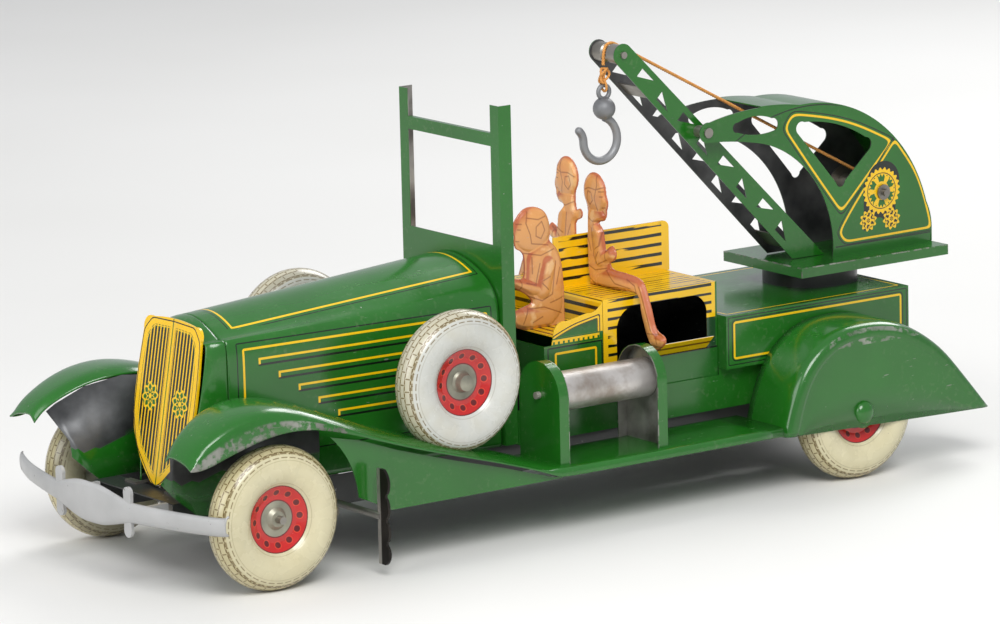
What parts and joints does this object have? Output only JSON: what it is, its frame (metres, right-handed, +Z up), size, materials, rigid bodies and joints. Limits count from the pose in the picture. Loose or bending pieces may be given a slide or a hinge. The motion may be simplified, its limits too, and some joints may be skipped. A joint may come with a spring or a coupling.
{
  "type": "toy crane truck",
  "caption": "Tinplate toy truck with clockwork drive, benches with flat figures, and a turning cab crane whose boom carries a cord and hook.",
  "frame": {"origin": "middle of the bounding box, on the ground under the wheels", "axes": "+X towards the front bumper, +Y to the truck's left, +Z up"},
  "size_m": [0.436, 0.157, 0.1936],
  "materials": {
    "litho_green": "glossy lithographed tinplate",
    "litho_yellow": "glossy lithographed tinplate with printed slats",
    "tyre_cream": "glossy lithographed tinplate, printed as tyres",
    "disc_red": "glossy lithographed tinplate",
    "dark_tin": "dark satin paint",
    "silver_paint": "silver paint, satin",
    "steel": "bare tinplate and steel, a little stained",
    "figure_litho": "glossy lithographed tinplate",
    "cord_cotton": "twisted cotton",
    "lead": "dull cast metal"
  },
  "bodies": {
    "truck": {"bench_backrest": "litho_yellow", "bench_left": "litho_yellow", "bench_right": "litho_yellow", "body_tub": "litho_green", "bonnet": "litho_green", "bumper": "silver_paint", "chassis": "dark_tin", "crane_box": "litho_green", "driver_figure": "figure_litho", "driver_seat": "litho_green", "front_wing_left": "litho_green", "front_wing_right": "litho_green", "mainspring": "steel", "motor_frame": "steel", "over_riders": "silver_paint", "passenger_left": "figure_litho", "passenger_right": "figure_litho", "radiator_grille": "litho_yellow", "rear_wing_left": "litho_green", "rear_wing_right": "litho_green", "roller_brackets": "litho_green", "side_skirt_left": "litho_green", "side_skirt_right": "litho_green", "spare_tyre_left": "tyre_cream", "spare_tyre_right": "tyre_cream", "spare_wheel_disc_left": "disc_red", "spare_wheel_disc_right": "disc_red", "turntable": "dark_tin", "windscreen_crossbar": "litho_green", "windscreen_frame": "litho_green"},
    "front_wheels": {"front_axle": "steel", "front_tyre_left": "tyre_cream", "front_tyre_right": "tyre_cream", "front_wheel_disc_left": "disc_red", "front_wheel_disc_right": "disc_red"},
    "rear_wheels": {"rear_axle": "steel", "rear_tyre_left": "tyre_cream", "rear_tyre_right": "tyre_cream", "rear_wheel_disc_left": "disc_red", "rear_wheel_disc_right": "disc_red"},
    "second_arbor": {"second_gear": "steel"},
    "key": {"great_gear": "steel", "winding_key": "steel"},
    "crane": {"crane_base": "litho_green", "cab_side_left": "litho_green", "cab_side_right": "litho_green", "cab_roof": "litho_green", "boom_side_left": "litho_green", "boom_side_right": "litho_green", "boom_ties": "steel", "hoist_cord": "cord_cotton", "cord_knot": "cord_cotton"},
    "drum": {"cable_drum": "steel", "ratchet_wheel": "steel", "crank_handle": "steel"},
    "tip": {"tip_roller": "steel"},
    "hook_body": {"hook": "lead"},
    "left_roller": {"roller_left": "steel"},
    "right_roller": {"roller_right": "steel"},
    "steering": {"steering_wheel": "steel"}
  },
  "joints": [
    {"name": "front_axle_spin", "type": "hinge", "parent": "truck", "child": "front_wheels", "pos_m": [0.168, 0, 0.03], "axis": [0, 1, 0], "continuous": true},
    {"name": "rear_axle_spin", "type": "hinge", "parent": "truck", "child": "rear_wheels", "pos_m": [-0.135, 0, 0.03], "axis": [0, 1, 0], "continuous": true},
    {"name": "second_arbor_spin", "type": "hinge", "parent": "truck", "child": "second_arbor", "pos_m": [0.14204, 0, 0.03742], "axis": [0, 1, 0], "continuous": true},
    {"name": "key_turn", "type": "hinge", "parent": "truck", "child": "key", "pos_m": [0.1215, 0, 0.025], "axis": [0, 1, 0], "continuous": true},
    {"name": "crane_slew", "type": "hinge", "parent": "truck", "child": "crane", "pos_m": [-0.161, 0, 0.0875], "axis": [0, 0, 1], "continuous": true},
    {"name": "drum_spin", "type": "hinge", "parent": "crane", "child": "drum", "pos_m": [-0.19, 0, 0.113], "axis": [0, 1, 0], "continuous": true},
    {"name": "tip_roller_spin", "type": "hinge", "parent": "crane", "child": "tip", "pos_m": [-0.0535, 0, 0.1885], "axis": [0, 1, 0], "continuous": true},
    {"name": "hook_swing", "type": "hinge", "parent": "crane", "child": "hook_body", "pos_m": [-0.0495, 0, 0.1749], "axis": [0, 1, 0], "range_deg": [-20, 20]},
    {"name": "left_roller_spin", "type": "hinge", "parent": "truck", "child": "left_roller", "pos_m": [-0.004, 0.0505, 0.058], "axis": [1, 0, 0], "continuous": true},
    {"name": "right_roller_spin", "type": "hinge", "parent": "truck", "child": "right_roller", "pos_m": [-0.004, -0.0505, 0.058], "axis": [1, 0, 0], "continuous": true},
    {"name": "steering_turn", "type": "hinge", "parent": "truck", "child": "steering", "pos_m": [0.0178, 0.016, 0.086], "axis": [1, 0, 0], "range_deg": [-90, 90]}
  ],
  "couplings": [
    {"joint": "second_arbor_spin", "follows": "front_axle_spin", "ratio": -0.28571},
    {"joint": "key_turn", "follows": "front_axle_spin", "ratio": 0.095238}
  ]
}
